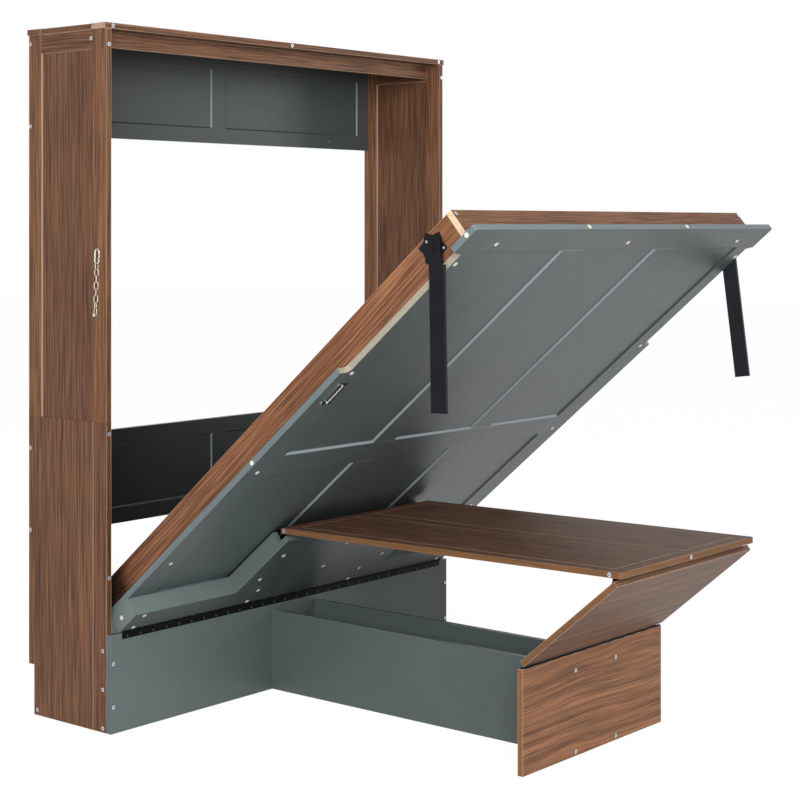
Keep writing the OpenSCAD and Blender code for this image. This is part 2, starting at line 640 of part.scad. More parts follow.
// a field with its upper edges cut off at 45 degrees, which leaves the groove
module desk_field() {
  c = desk_groove * sqrt(2);
  y0 = nose_end + 2 + desk_stile;
  y1 = desk_heel - desk_stile;
  difference() {
    box3(-desk_w / 2 + desk_stile, -bar_x, y0, y1, heel_gap, desk_top);
    for (x = [-desk_w / 2 + desk_stile, -bar_x])
      translate([x, (y0 + y1) / 2, desk_top]) rotate([0, 45, 0]) cube([c, y1 - y0 + 2, c], center = true);
    for (y = [y0, y1])
      translate([-desk_w / 4, y, desk_top]) rotate([45, 0, 0]) cube([desk_w / 2 + 2, c, c], center = true);
  }
}
module desk_left_field() color(walnut) on_desk() desk_field();
module desk_right_field() color(walnut) on_desk() mirror([1, 0, 0]) desk_field();
module desk_bolts() color(zinc) on_desk() {
  both() desk_side_spots() bolt();
  translate([0, nose_end + 2, heel_gap + desk_t / 2]) bolt();
}
module prop_panel() color(walnut) on_prop()
  box3(-desk_w / 2, desk_w / 2, box_y, box_y + board, 4, arm + nose_gap - 1);

// ---- output ----
left_side_panel();
right_side_panel();
top_panel();
valance_rail();
upper_back_panel();
lower_back_panel();
front_rail();
left_corner_cleat();
right_corner_cleat();
left_stretcher();
right_stretcher();
end_panel();
bed_hinge_rail_leaf();
prop_hinge_end_leaf();
cabinet_bolts();
base_bolts();
chain_eye();
safety_chain();
snap_hook();
hook_gate();
chain_anchor();
underside_panel();
left_bed_rail();
right_bed_rail();
head_rail();
foot_rail();
cross_batten_1();
cross_batten_2();
cross_batten_3();
box_strip_board();
box_stem_board();
box_left_end();
box_right_end();
box_left_edge();
box_right_edge();
stem_left_edge();
stem_right_edge();
box_foot_board();
bed_hinge_box_leaf();
desk_hinge_box_leaf();
left_leg_bracket();
right_leg_bracket();
pull_handle();
cover_caps();
bed_bolts();
desk_left_stile();
desk_right_stile();
desk_outer_rail();
desk_inner_rail();
desk_centre_stile();
desk_left_field();
desk_right_field();
desk_hinge_desk_leaf();
nose_hinge_desk_leaf();
desk_bolts();
prop_panel();
prop_hinge_prop_leaf();
nose_hinge_prop_leaf();
left_leg();
right_leg();
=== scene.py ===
"""Wall bed with fold-down desk: looks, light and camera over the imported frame.

Every shape comes from the frame. This script gives each node its material and a small bevel,
and makes the floor, the lamps and the camera. Lengths are in metres.
"""
import functools
import json
import math

import bpy
from mathutils import Matrix, Vector


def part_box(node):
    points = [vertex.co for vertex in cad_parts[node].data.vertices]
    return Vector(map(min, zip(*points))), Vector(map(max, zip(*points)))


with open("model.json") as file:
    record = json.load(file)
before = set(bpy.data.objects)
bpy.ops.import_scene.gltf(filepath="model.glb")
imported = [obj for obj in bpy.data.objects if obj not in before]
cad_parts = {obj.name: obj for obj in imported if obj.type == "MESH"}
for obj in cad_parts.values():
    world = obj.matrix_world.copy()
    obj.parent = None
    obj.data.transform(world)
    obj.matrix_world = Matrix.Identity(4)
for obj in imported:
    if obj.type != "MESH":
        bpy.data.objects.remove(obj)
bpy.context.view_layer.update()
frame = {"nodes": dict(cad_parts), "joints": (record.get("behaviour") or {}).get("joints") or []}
nodes = frame["nodes"]
joints = {joint["name"]: joint for joint in frame["joints"]}

# ---------------------------------------------------------------- frames of the boards
# Grain and paint follow the boards. A tilted body has its origin on the hinge that it turns on;
# Z runs along the bed and the prop, Y along the desktop, and X is the same in every frame.
# The bed's turn is what it lacks to upright, and the prop is parallel to it.
BED_TURN = math.radians(joints["bed_swing"]["range_deg"][1])
DESK_TILT = math.radians(0.596)


def board_frame(joint, angle):
    """Frame on the hinge of a joint, turned by an angle about X."""
    return Matrix.Translation(Vector(joints[joint]["pos_m"])) @ Matrix.Rotation(angle, 4, "X")


FRAMES = {
    "world": Matrix.Identity(4),
    "bed": board_frame("bed_swing", BED_TURN),
    "prop": board_frame("prop_fold", BED_TURN),
    "desk": board_frame("desk_fold", -DESK_TILT),
}


# ---------------------------------------------------------------- node helpers
def srgb(red, green, blue):
    """Linear colour of an 8-bit screen colour."""
    def linear(level):
        v = level / 255
        return v / 12.92 if v <= 0.04045 else ((v + 0.055) / 1.055) ** 2.4
    return (linear(red), linear(green), linear(blue), 1.0)


def times_colour(colour, factors):
    """A colour with its red, green and blue each times a factor."""
    return (*[c * f for c, f in zip(colour, factors)], 1.0)


class Tree:
    """A material's node tree with short calls; a number is set as a constant on its socket."""

    def __init__(self, name):
        self.mat = bpy.data.materials.new(name)
        self.mat.use_nodes = True
        self.tree = self.mat.node_tree
        self.tree.nodes.clear()

    def node(self, kind, inputs=None, **props):
        """New node: inputs are sockets or constants by name or number, props its settings."""
        n = self.tree.nodes.new(kind)
        for name, value in props.items():
            setattr(n, name, value)
        for name, value in (inputs or {}).items():
            self.put(n.inputs[name], value)
        return n

    def put(self, socket, value):
        if isinstance(value, bpy.types.NodeSocket):
            self.tree.links.new(value, socket)
        else:
            socket.default_value = value

    def math(self, operation, a, b=0.0):
        return self.node("ShaderNodeMath", {0: a, 1: b}, operation=operation).outputs[0]

    def times(self, first, *others):
        """Product of values, or of masks that have to hold together."""
        for other in others:
            first = self.math("MULTIPLY", first, other)
        return first

    def over(self, value, low):
        return self.math("GREATER_THAN", value, low)

    def under(self, value, high):
        return self.math("LESS_THAN", value, high)

    def between(self, value, low, high):
        return self.times(self.over(value, low), self.under(value, high))

    def size(self, value):
        return self.math("ABSOLUTE", value)

    def near(self, value, place, reach):
        """1 within reach of a place."""
        return self.under(self.size(self.math("SUBTRACT", value, place)), reach)

    def but_not(self, mask, other):
        return self.times(mask, self.math("SUBTRACT", 1.0, other))

    def span(self, value, low, high, first=0.0, last=1.0):
        """A value's way from low to high, clamped, as first to last."""
        n = self.node("ShaderNodeMapRange", {0: value, 1: low, 2: high, 3: first, 4: last})
        return n.outputs[0]

    def mix(self, share, a, b, blend="MIX"):
        n = self.node("ShaderNodeMix", data_type="RGBA", blend_type=blend)
        self.put(n.inputs[0], share)
        self.put(n.inputs[6], a)
        self.put(n.inputs[7], b)
        return n.outputs[2]

    def mix_values(self, share, a, b):
        return self.node("ShaderNodeMix", {0: share, 2: a, 3: b}).outputs[0]

    def tint(self, colour, factors, share=1.0):
        return self.mix(share, colour, (*factors, 1.0), "MULTIPLY")

    def ramp(self, value, stops):
        n = self.node("ShaderNodeValToRGB", {0: value})
        elements = n.color_ramp.elements
        while len(elements) < len(stops):
            elements.new(0.5)
        for element, (position, colour) in zip(elements, stops):
            element.position = position
            element.color = colour
        return n.outputs[0]

    def scaled(self, vector, scale):
        return self.node("ShaderNodeMapping", {"Vector": vector, "Scale": scale}).outputs[0]

    def noise(self, vector, scale, detail, rough=0.55, distortion=0.0):
        n = self.node("ShaderNodeTexNoise", {"Vector": vector, "Scale": scale, "Detail": detail,
                                             "Roughness": rough, "Distortion": distortion})
        return n.outputs[0]

    def axis(self, vector, letter):
        return self.node("ShaderNodeSeparateXYZ", {0: vector}).outputs["XYZ".index(letter)]

    def open_air(self, reach, samples):
        """Ambient occlusion: 1 in the open, towards 0 in a nook."""
        n = self.node("ShaderNodeAmbientOcclusion", {"Distance": reach}, samples=samples)
        return n.outputs["AO"]

    def edge_mask(self, width=0.0016, flat=0.995, sharp=0.85):
        """1 along edges, 0 on the flats: a rounded normal set against the true one."""
        rounded = self.node("ShaderNodeBevel", {"Radius": width}, samples=4).outputs[0]
        true = self.node("ShaderNodeNewGeometry").outputs["True Normal"]
        dot = self.node("ShaderNodeVectorMath", {0: rounded, 1: true}, operation="DOT_PRODUCT")
        return self.span(dot.outputs["Value"], flat, sharp)

    def place(self, where, shift=(0.0, 0.0, 0.0)):
        """Place in a board's frame, the same place shifted for another figure, and the normal."""
        coordinates = self.node("ShaderNodeTexCoord")
        back = tuple(-v for v in FRAMES[where].translation)
        upright = (-FRAMES[where].to_euler().x, 0.0, 0.0)
        moved = self.node("ShaderNodeMapping", {"Vector": coordinates.outputs["Object"],
                                                "Location": back})
        own = self.node("ShaderNodeMapping", {"Vector": moved.outputs[0], "Rotation": upright})
        other = self.node("ShaderNodeMapping", {"Vector": own.outputs[0], "Location": shift})
        normal = self.node("ShaderNodeMapping", {"Vector": coordinates.outputs["Normal"],
                                                 "Rotation": upright}, vector_type="NORMAL")
        return own.outputs[0], other.outputs[0], normal.outputs[0]

    def finish(self, colour, rough, bump, height, metal=0.0, spec=0.5):
        """Closes the tree with one shader, and returns the material."""
        relief = self.node("ShaderNodeBump", {"Strength": 0.6, "Distance": height, "Height": bump})
        shader = self.node("ShaderNodeBsdfPrincipled", {
            "Base Color": colour, "Roughness": rough, "Metallic": metal,
            "Specular IOR Level": spec, "Normal": relief.outputs[0]})
        self.node("ShaderNodeOutputMaterial", {0: shader.outputs[0]})
        return self.mat


# how far shade reaches where two boards lie close together
NOOK_REACH = 0.12

# ---------------------------------------------------------------- walnut
WALNUT_DARK = srgb(74, 48, 35)
WALNUT_MID = srgb(110, 75, 54)
WALNUT_LIGHT = srgb(139, 98, 72)
WALNUT_PORE = srgb(50, 32, 24)
WALNUT_WORN_HIGHLIGHT = srgb(200, 172, 150)
WALNUT_NOOK_SHADE = srgb(16, 12, 11)
SAWN_END = srgb(122, 84, 52)
NO_TINT = (1.0, 1.0, 1.0)

# The figure is four layers of streaks: fine, middle, broad and thin. A figure gives their shares,
# and these are the streaks to a metre across the grain, where the broad ones are called bands.
# Along the grain the same noise is drawn out.
FINE = 250.0
MIDDLE = 110.0
THIN = 460.0
PORES = 340.0
PLAIN_BANDS = 15.0
CLOSE_BANDS = 42.0
PLAIN_FIGURE = (0.52, 0.12, 0.08, 0.28)
BANDED_FIGURE = (0.34, 0.20, 0.28, 0.18)
MIXED_FIGURE = (0.38, 0.20, 0.22, 0.20)
STREAK_STRETCH = 0.016
PORE_STRETCH = 0.02

# A framed side panel: the sunk field lies between its stiles, above the flush low board. Its
# back lip and its upper lip get a painted highlight, and these bounds leave the other two out.
SIDE_STILE = 0.065
LOW_BOARD = 0.976
side_low, side_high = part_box("left_side_panel")
FIELD_Y = (side_low[1] + SIDE_STILE, side_high[1] - SIDE_STILE)
FIELD_Z = (LOW_BOARD, side_high[2] - SIDE_STILE + 0.003)
LIP_Y = (FIELD_Y[0] + 0.0055, FIELD_Y[1] + 0.0045)
LIP_Z = (FIELD_Z[0] + 0.004, FIELD_Z[1] + 0.006)
STILE_TONE = (1.28, 1.28, 1.20)
FIELD_TONE = (0.90, 0.90, 0.93)
FRONT_EDGE_SHADE = (0.66, 0.62, 0.50)
LIP_HIGHLIGHT = srgb(202, 166, 146)
GROOVE_HIGHLIGHT = srgb(206, 176, 150)

# pale sawn ends: of the top panel's long piece in front of this place, and of the head rail
TOP_FRONT_Y = 0.076
RAW_ENDS = {
    "world": (srgb(150, 118, 92), srgb(206, 178, 150)),
    "bed": (srgb(212, 180, 138), srgb(238, 214, 180)),
}


def along(grain, stretch, across=1.0):
    """Scale of a texture with one factor along the grain and another across it."""
    return tuple(stretch if axis == grain else across for axis in "XYZ")


def grain_value(t, place, grain, face, wave, figure, bands):
    """Walnut figure in 0..1, its pores in 0..1, and its fine layer alone. The streaks wander
    by wave across the board, but not through it."""
    slow = t.scaled(place, along(grain, 0.8, 3.0))
    warp = t.node("ShaderNodeTexNoise", {"Vector": slow, "Scale": 1.0, "Detail": 2.0}).outputs[1]
    sway = tuple(0.0 if axis in (grain, face) else wave for axis in "XYZ")
    push = t.node("ShaderNodeVectorMath", {0: warp, 1: sway}, operation="MULTIPLY").outputs[0]
    flow = t.node("ShaderNodeVectorMath", {0: place, 1: push}, operation="ADD").outputs[0]
    drawn = t.scaled(flow, along(grain, STREAK_STRETCH))
    fine = t.noise(drawn, FINE, 2.0, 0.6)
    layers = (fine, t.noise(drawn, MIDDLE, 2.0, 0.6), t.noise(drawn, bands, 2.0, 0.5),
              t.noise(drawn, THIN, 1.0, 0.5))
    value = 0.0
    for layer, share in zip(layers, figure):
        value = t.math("ADD", value, t.times(layer, share))
    specks = t.noise(t.scaled(flow, along(grain, PORE_STRETCH)), PORES, 1.0, 0.5)
    return value, t.span(specks, 0.60, 0.70), fine


def framed_tones(t, base, y, z, normal):
    """Paler stiles and a deeper field above the low board, and a painted highlight on the back
    and upper lips of the field.
    """
    inner = t.between(y, *FIELD_Y)
    upper = t.over(z, FIELD_Z[0])
    base = t.tint(base, STILE_TONE, t.but_not(upper, inner))
    base = t.tint(base, FIELD_TONE, t.times(upper, inner))
    slope = t.span(t.size(t.axis(normal, "X")), 0.7, 0.4)
    # painted highlight on the lit lips of the field and along its back edge
    lip = t.times(slope, t.between(y, *LIP_Y), t.between(z, *LIP_Z))
    rear = t.times(t.near(y, FIELD_Y[1] - 0.001, 0.0022), upper, t.under(z, FIELD_Z[1] - 0.001))
    return t.mix(t.times(t.math("MAXIMUM", lip, rear), 0.78), base, LIP_HIGHLIGHT)


def raw_end(t, base, where, own, end):
    """Bare sawn end, with fine layers stacked through the thickness of the board."""
    if where == "world":
        end = t.times(end, t.under(t.axis(own, "Y"), TOP_FRONT_Y))
    streak = t.span(t.noise(t.scaled(own, (60.0, 60.0, 380.0)), 1.0, 3.0), 0.35, 0.65)
    return t.mix(end, base, t.mix(streak, *RAW_ENDS[where]))


@functools.cache
def walnut(where, grain, face, seed, tone=NO_TINT, ends="brown", framed=False, wave=0.05,
           spread=0.095, line=0.80, rim=None, nook=False, figure=PLAIN_FIGURE, bands=PLAIN_BANDS):
    """Printed walnut board. grain is the axis that the wood runs along and face the one through
    the board. The ends are brown or raw. spread is the contrast of the figure, wave how far it
    wanders, line how strong the pale edges are, which are wear and a painted highlight on the
    arrises, and rim the colour of the long edges; nook paints shade on the board where it runs
    close beside its neighbour."""
    t = Tree("walnut_%s_%s_%d_%s" % (where, grain, seed, ends))
    shift = (seed * 1.37 % 3.1, seed * 2.11 % 2.7, seed * 0.83 % 4.3)
    own, place, normal = t.place(where, shift)
    value, pore, fine = grain_value(t, place, grain, face, wave, figure, bands)
    if framed:
        # the top rail between the stiles has its grain across
        y = t.axis(own, "Y")
        z = t.axis(own, "Z")
        value_2, pore_2, _ = grain_value(t, place, "Y", "X", 0.08, PLAIN_FIGURE, PLAIN_BANDS)
        top_rail = t.times(t.over(z, FIELD_Z[1]), t.between(y, *FIELD_Y))
        value = t.mix_values(top_rail, value, value_2)
        pore = t.mix_values(top_rail, pore, pore_2)
    base = t.ramp(value, [(0.50 - spread, WALNUT_DARK), (0.50, WALNUT_MID),
                          (0.50 + spread, WALNUT_LIGHT)])
    base = t.mix(t.times(pore, 0.38), base, WALNUT_PORE)
    if framed:
        base = framed_tones(t, base, y, z, normal)
    base = t.tint(base, tone)

    end = t.span(t.size(t.axis(normal, grain)), 0.6, 0.9)
    if ends == "raw":
        base = raw_end(t, base, where, own, end)
    elif framed:
        # painted shade on the forward-facing edges of a framed panel
        base = t.tint(base, FRONT_EDGE_SHADE, t.span(t.axis(normal, "Y"), -0.6, -0.9))
    else:
        base = t.mix(t.times(end, 0.75), base, times_colour(SAWN_END, tone))
    if rim:
        edge = t.span(t.size(t.axis(normal, face)), 0.7, 0.4)
        base = t.mix(t.times(edge, 0.55), base, rim)
    if nook:
        # painted shade where the board runs close beside its neighbour
        dim = t.span(t.open_air(NOOK_REACH, 8), 0.64, 0.52)
        base = t.mix(t.times(dim, 0.9), base, WALNUT_NOOK_SHADE)

    # pale edges: wear, and a painted highlight along the arrises
    worn = t.edge_mask(0.0034, 0.999, 0.90)
    if framed:
        # no worn edge and no painted highlight on the front and lower rims of the field
        worn = t.but_not(worn, t.near(y, FIELD_Y[0], 0.004))
        worn = t.but_not(worn, t.near(z, FIELD_Z[0], 0.004))
    base = t.mix(t.times(worn, line), base, WALNUT_WORN_HIGHLIGHT)
    if framed:
        # painted highlight along the groove at the front of the field, on the low board
        groove = t.times(t.near(y, FIELD_Y[0], 0.0014), t.under(z, FIELD_Z[0]))
        base = t.mix(t.times(groove, 0.75), base, GROOVE_HIGHLIGHT)
    rough = t.span(fine, 0.3, 0.7, 0.42, 0.56)
    bump = t.math("SUBTRACT", t.times(fine, 0.3), t.times(pore, 0.8))
    return t.finish(base, rough, bump, 0.00025, spec=0.08 if where == "desk" else 0.2)


# ---------------------------------------------------------------- lacquer
LACQUER_LOW = srgb(79, 89, 89)
LACQUER_HIGH = srgb(86, 96, 95)
LACQUER_LIT = srgb(158, 172, 178)
LACQUER_SHADE = srgb(30, 34, 36)
LACQUER_NOOK_SHADE = srgb(14, 15, 16)
LACQUER_DUST = srgb(130, 136, 133)
LACQUER_WORN = srgb(160, 174, 176)
LACQUER_SIDE_LIGHT = srgb(150, 170, 176)
JOINT_PALE = srgb(150, 162, 166)
# a painted gradient of light and shade runs from this far left of the middle to as far right of it
FADE_X = 0.8

# The underside panel in the bed's own frame, with s along the bed from its hinge: two rows of
# three sunk fields, between a stile at each side, two long bars, a cross bar and the head band.
PANEL_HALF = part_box("underside_panel")[1][0]
PANEL_STILE = 0.108
PANEL_BAR = 0.105
CROSS_BAR = (0.752, 0.857)
HEAD_BAND = 1.807
HEAD_EDGE = 1.899
BORDER_RUN = 0.008
PITCH = (2 * PANEL_HALF - 2 * PANEL_STILE - 2 * PANEL_BAR) / 3 + PANEL_BAR
# half the flat of a field, out to the foot of its long borders
FLAT_HALF = (PITCH - PANEL_BAR) / 2 - 0.0095
FLAT_ROWS = ((0.1025, CROSS_BAR[0] - BORDER_RUN),
             (CROSS_BAR[1] + BORDER_RUN, HEAD_BAND - BORDER_RUN))
FOOT_LINE = 0.0018
JOINT_LINE = 0.0012
# where the edges of the leg cut-outs lie
CUT_X = (0.7820, 0.8195)
CUT_S = (1.26, 1.81)


def sloping_borders(t, base, x, normal, face, walls, underside):
    """Borders of the sunk fields: walls says how much painted highlight or, below 0, painted shade
    those get that face up, left, right and down. Under the bed, the one farthest to the right gets
    painted shade."""
    slope = t.times(t.span(face, 0.97, 0.90), t.span(face, 0.70, 0.80))
    for (letter, sign), amount in zip((("Z", 1), ("X", -1), ("X", 1), ("Z", -1)), walls):
        side = t.times(slope, t.span(t.axis(normal, letter), 0.2 * sign, 0.35 * sign))
        if underside and (letter, sign) == ("X", -1):
            last = t.times(side, t.over(x, 0.5))
            base = t.mix(t.times(last, 0.7), base, LACQUER_SHADE)
            side = t.math("SUBTRACT", side, last)
        # painted highlight on the borders that face the light, painted shade on the others
        colour = LACQUER_LIT if amount > 0 else LACQUER_SHADE
        base = t.mix(t.times(side, abs(amount)), base, colour)
    return base


def panel_lines(t, base, x, s):
    """Lines on the underside panel: painted shade at the foot of the long slopes, and pale joints
    between the bars, beside and between the fields."""
    off_field = t.math("PINGPONG", x, PITCH / 2)
    foot = t.near(off_field, FLAT_HALF, FOOT_LINE)
    for low, high in FLAT_ROWS:
        # painted shade at the foot of the long slopes
        base = t.mix(t.times(foot, t.between(s, low, high), 0.5), base, LACQUER_SHADE)
    off_middle = t.size(x)
    stile_x = PANEL_HALF - PANEL_STILE
    joint = t.times(t.near(off_middle, stile_x - 0.0005, JOINT_LINE), t.between(s, *CROSS_BAR))
    bar = t.times(t.under(off_middle, stile_x), t.over(off_field, (PITCH - PANEL_BAR) / 2))
    for place in (*CROSS_BAR, HEAD_BAND):
        joint = t.math("MAXIMUM", joint, t.times(t.near(s, place, JOINT_LINE), bar))
    return t.mix(t.times(joint, 0.5), base, JOINT_PALE)


def bare_cut_outs(t, base, own, x, s, narrow_side):
    """Bare board on the edges of the leg cut-outs."""
    here = t.times(t.between(t.size(x), *CUT_X), t.between(s, *CUT_S), narrow_side)
    ply = t.noise(t.scaled(own, (40.0, 900.0, 60.0)), 1.0, 3.0)
    return t.mix(here, base, t.mix(ply, srgb(128, 122, 108), srgb(190, 182, 164)))


@functools.cache
def lacquer(where, seed, shade, walls=None, side_shade=None, fade=None, underside=False,
            only_face_worn=False):
    """Slate grey-green satin lacquer. shade is a painted light level: a darker copy of the lacquer
    for parts in shade, a lighter one for lit parts. walls is for painted highlight and painted
    shade on the borders of sunk fields and painted light on the narrow sides, side_shade for
    painted light on the narrow sides and fade for painted light and shade from the left to the
    right end;
    underside adds what only the large panel under the bed has, and only_face_worn keeps wear off
    the sides."""
    t = Tree("lacquer_%s_%d" % (where, seed))
    own, place, normal = t.place(where, (seed * 0.7, seed * 1.3, seed * 2.1))
    x = t.axis(own, "X")
    s = t.axis(own, "Z")
    dust = t.noise(place, 38.0, 5.0, 0.7)
    base = t.mix(t.span(t.noise(place, 1.7, 3.0), 0.3, 0.7), LACQUER_LOW, LACQUER_HIGH)
    base = t.mix(t.times(t.span(dust, 0.58, 0.8), 0.10), base, LACQUER_DUST)
    # painted light and shade: each part gets its own darker or lighter copy of the lacquer
    base = t.tint(base, (shade, shade, shade))

    face = t.size(t.axis(normal, "Y"))
    narrow_side = t.span(face, 0.7, 0.4)
    if side_shade:
        # painted light on the narrow sides
        base = t.tint(base, (side_shade, side_shade * 1.01, side_shade), narrow_side)
    if fade:
        # painted light and shade from the left end to the right end
        tone = t.span(x, -FADE_X, FADE_X, *fade)
        grey = t.node("ShaderNodeCombineXYZ", {0: tone, 1: tone, 2: tone}).outputs[0]
        base = t.mix(1.0, base, grey, "MULTIPLY")
    if walls:
        base = sloping_borders(t, base, x, normal, face, walls, underside)
        outer = t.over(t.size(x), PANEL_HALF - 0.005)
        if underside:
            base = panel_lines(t, base, x, s)
            # painted shade where the panel lies close to other parts
            dim = t.span(t.open_air(NOOK_REACH, 6), 0.42, 0.30)
            base = t.mix(t.times(dim, 0.8), base, LACQUER_NOOK_SHADE)
            outer = t.math("MAXIMUM", outer, t.over(s, HEAD_EDGE))
        # painted light on the narrow sides, less on the outer ones
        lit = t.times(narrow_side, t.span(outer, 0.0, 1.0, 0.60, 0.28))
        base = t.mix(lit, base, LACQUER_SIDE_LIGHT)

    worn = t.edge_mask(0.0018)
    if only_face_worn:
        worn = t.times(worn, t.span(face, 0.6, 0.8))
    base = t.mix(t.times(worn, 0.50), base, LACQUER_WORN)
    if underside:
        base = bare_cut_outs(t, base, own, x, s, narrow_side)
    orange_peel = t.noise(place, 240.0, 3.0, 0.5)
    return t.finish(base, t.span(dust, 0.3, 0.75, 0.34, 0.44), orange_peel, 0.00008, spec=0.32)


# ---------------------------------------------------------------- metal, plastic and bare wood
SCREW_PITCH = 0.056
SCREW_HEAD_R = 0.0029
SCREW_SLOT = 0.0006
# how far from the middle the screw heads of the leg brackets lie
BRACKET_SCREWS = (0.7863, 0.7878)


def hinge(name, where, axis, row):
    """Black piano hinge with a line of small screw heads along X, at row on the axis."""
    t = Tree(name)
    own, place, _ = t.place(where)
    off_row = t.math("SUBTRACT", t.axis(own, axis), row)
    off_screw = t.math("PINGPONG", t.axis(own, "X"), SCREW_PITCH / 2)
    squares = t.math("ADD", t.math("POWER", off_screw, 2.0), t.math("POWER", off_row, 2.0))
    head = t.under(t.math("SQRT", squares), SCREW_HEAD_R)
    slot = t.times(head, t.under(t.size(off_row), SCREW_SLOT))
    speckle = t.noise(place, 180.0, 4.0, 0.6)
    base = t.mix(t.span(speckle, 0.3, 0.7), srgb(9, 9, 11), srgb(17, 17, 19))
    base = t.mix(t.times(t.edge_mask(0.0008), 0.15), base, srgb(66, 68, 72))
    base = t.mix(head, base, srgb(92, 95, 100))
    base = t.mix(slot, base, srgb(30, 30, 32))
    return t.finish(base, t.span(speckle, 0.3, 0.7, 0.44, 0.6), speckle, 0.00005, spec=0.06)


def coated(name, low, high):
    """Black powder coat; the screw heads of the leg brackets are left as bright metal."""
    t = Tree(name)
    own, place, _ = t.place("bed")
    speckle = t.noise(place, 420.0, 4.0, 0.6)
    base = t.mix(t.span(t.noise(place, 16.0, 4.0, 0.6), 0.3, 0.7), low, high)
    base = t.mix(t.times(t.edge_mask(0.0010), 0.5), base, srgb(78, 80, 86))
    base = t.mix(t.between(t.size(t.axis(own, "X")), *BRACKET_SCREWS), base, srgb(150, 152, 156))
    return t.finish(base, t.span(speckle, 0.3, 0.7, 0.42, 0.56), speckle, 0.00010, spec=0.14)


def plated(name, colour, edge_colour):
    """Bright plated steel: painted shade in its recesses, pale on worn edges."""
    t = Tree(name)
    _, place, _ = t.place("world")
    speckle = t.noise(place, 240.0, 4.0, 0.6)
    stain = t.span(t.noise(place, 30.0, 5.0, 0.7), 0.35, 0.7)
    base = t.mix(stain, colour, times_colour(colour, (0.84, 0.84, 0.84)))
    base = t.mix(t.times(t.edge_mask(0.0008), 0.6), base, edge_colour)
    # painted shade in the recesses
    base = t.mix(t.span(t.open_air(0.006, 4), 0.94, 0.70), base, srgb(30, 42, 50))
    return t.finish(base, t.span(speckle, 0.3, 0.7, 0.255, 0.36), speckle, 0.00003, metal=0.45)


def bronze_painted_highlight(name):
    """Dark bronze with a painted highlight on the sides that face the edge of the panel."""
    t = Tree(name)
    _, place, normal = t.place("bed")
    speckle = t.noise(place, 260.0, 3.0, 0.6)
    stain = t.span(t.noise(place, 40.0, 4.0, 0.6), 0.3, 0.7)
    base = t.mix(stain, srgb(62, 50, 40), srgb(46, 36, 29))
    # painted highlight on the sides that face the edge of the panel
    base = t.mix(t.span(t.axis(normal, "X"), -0.35, -0.75), base, srgb(236, 232, 226))
    return t.finish(base, t.span(speckle, 0.3, 0.7, 0.22, 0.34), speckle, 0.00003, metal=0.5)


def mottled(name, where, colour, other, rough, scale, stretch=(1.0, 1.0, 1.0)):
    """Two close colours in soft patches, drawn out by stretch, with pale edges."""
    t = Tree(name)
    _, place, _ = t.place(where)
    patches = t.noise(t.scaled(place, stretch), scale, 5.0, 0.6, 0.4)
    pale = (*[min(1.0, 1.5 * c) for c in colour[:3]], 1.0)
    base = t.mix(t.span(patches, 0.3, 0.7), colour, other)
    base = t.mix(t.times(t.edge_mask(), 0.3), base, pale)
    return t.finish(base, t.span(patches, 0.3, 0.7, rough * 0.9, rough * 1.1), patches, 0.0001)


# ---------------------------------------------------------------- the nodes get their finish
BOARD_EDGE = 0.0012
LEG_EDGE = 0.0008
THIN_EDGE = 0.0006
HANDLE_EDGE = 0.0005
BOLT_EDGE = 0.0003
SHARP = 0.0


def dress(name, material, bevel=BOARD_EDGE):
    """Gives a node one material and, unless it stays sharp, softly rounded edges."""
    mesh = nodes[name].data
    mesh.materials.clear()
    mesh.materials.append(material)
    for polygon in mesh.polygons:
        polygon.material_index = 0
    if bevel:
        soft = nodes[name].modifiers.new("soft_edge", "BEVEL")
        soft.width = bevel
        soft.segments = 2
        soft.limit_method = "ANGLE"
        soft.angle_limit = math.radians(50)
        soft.harden_normals = True


def dress_cabinet():
    for side, seed in (("left", 3), ("right", 8)):
        dress(side + "_side_panel", walnut("world", "Z", "X", seed, framed=True))
        for part in ("stretcher", "corner_cleat"):
            dress("%s_%s" % (side, part), lacquer("world", seed, shade=1.08))
    dress("top_panel", walnut("world", "X", "Z", 1, ends="raw"))
    dress("valance_rail", walnut("world", "X", "Y", 2))
    # painted shade inside the cabinet: dark copies of the lacquer, painted borders, the upper one
    # darker at the left
    dress("upper_back_panel", lacquer("world", 1, shade=0.44, walls=(-0.3, 0.5, -0.5, -0.4),
                                      fade=(0.68, 1.62)))
    dress("lower_back_panel", lacquer("world", 2, shade=0.15, walls=(-0.2, 0.45, -0.6, -0.5)))
    # painted light and shade: a lighter copy of the lacquer that darkens towards the right under
    # the desk
    dress("front_rail", lacquer("world", 4, shade=1.2, fade=(1.10, 0.36)))
    dress("end_panel", walnut("world", "X", "Y", 6, tone=(1.36, 1.34, 1.22), wave=0.10,
                              figure=BANDED_FIGURE, bands=CLOSE_BANDS))


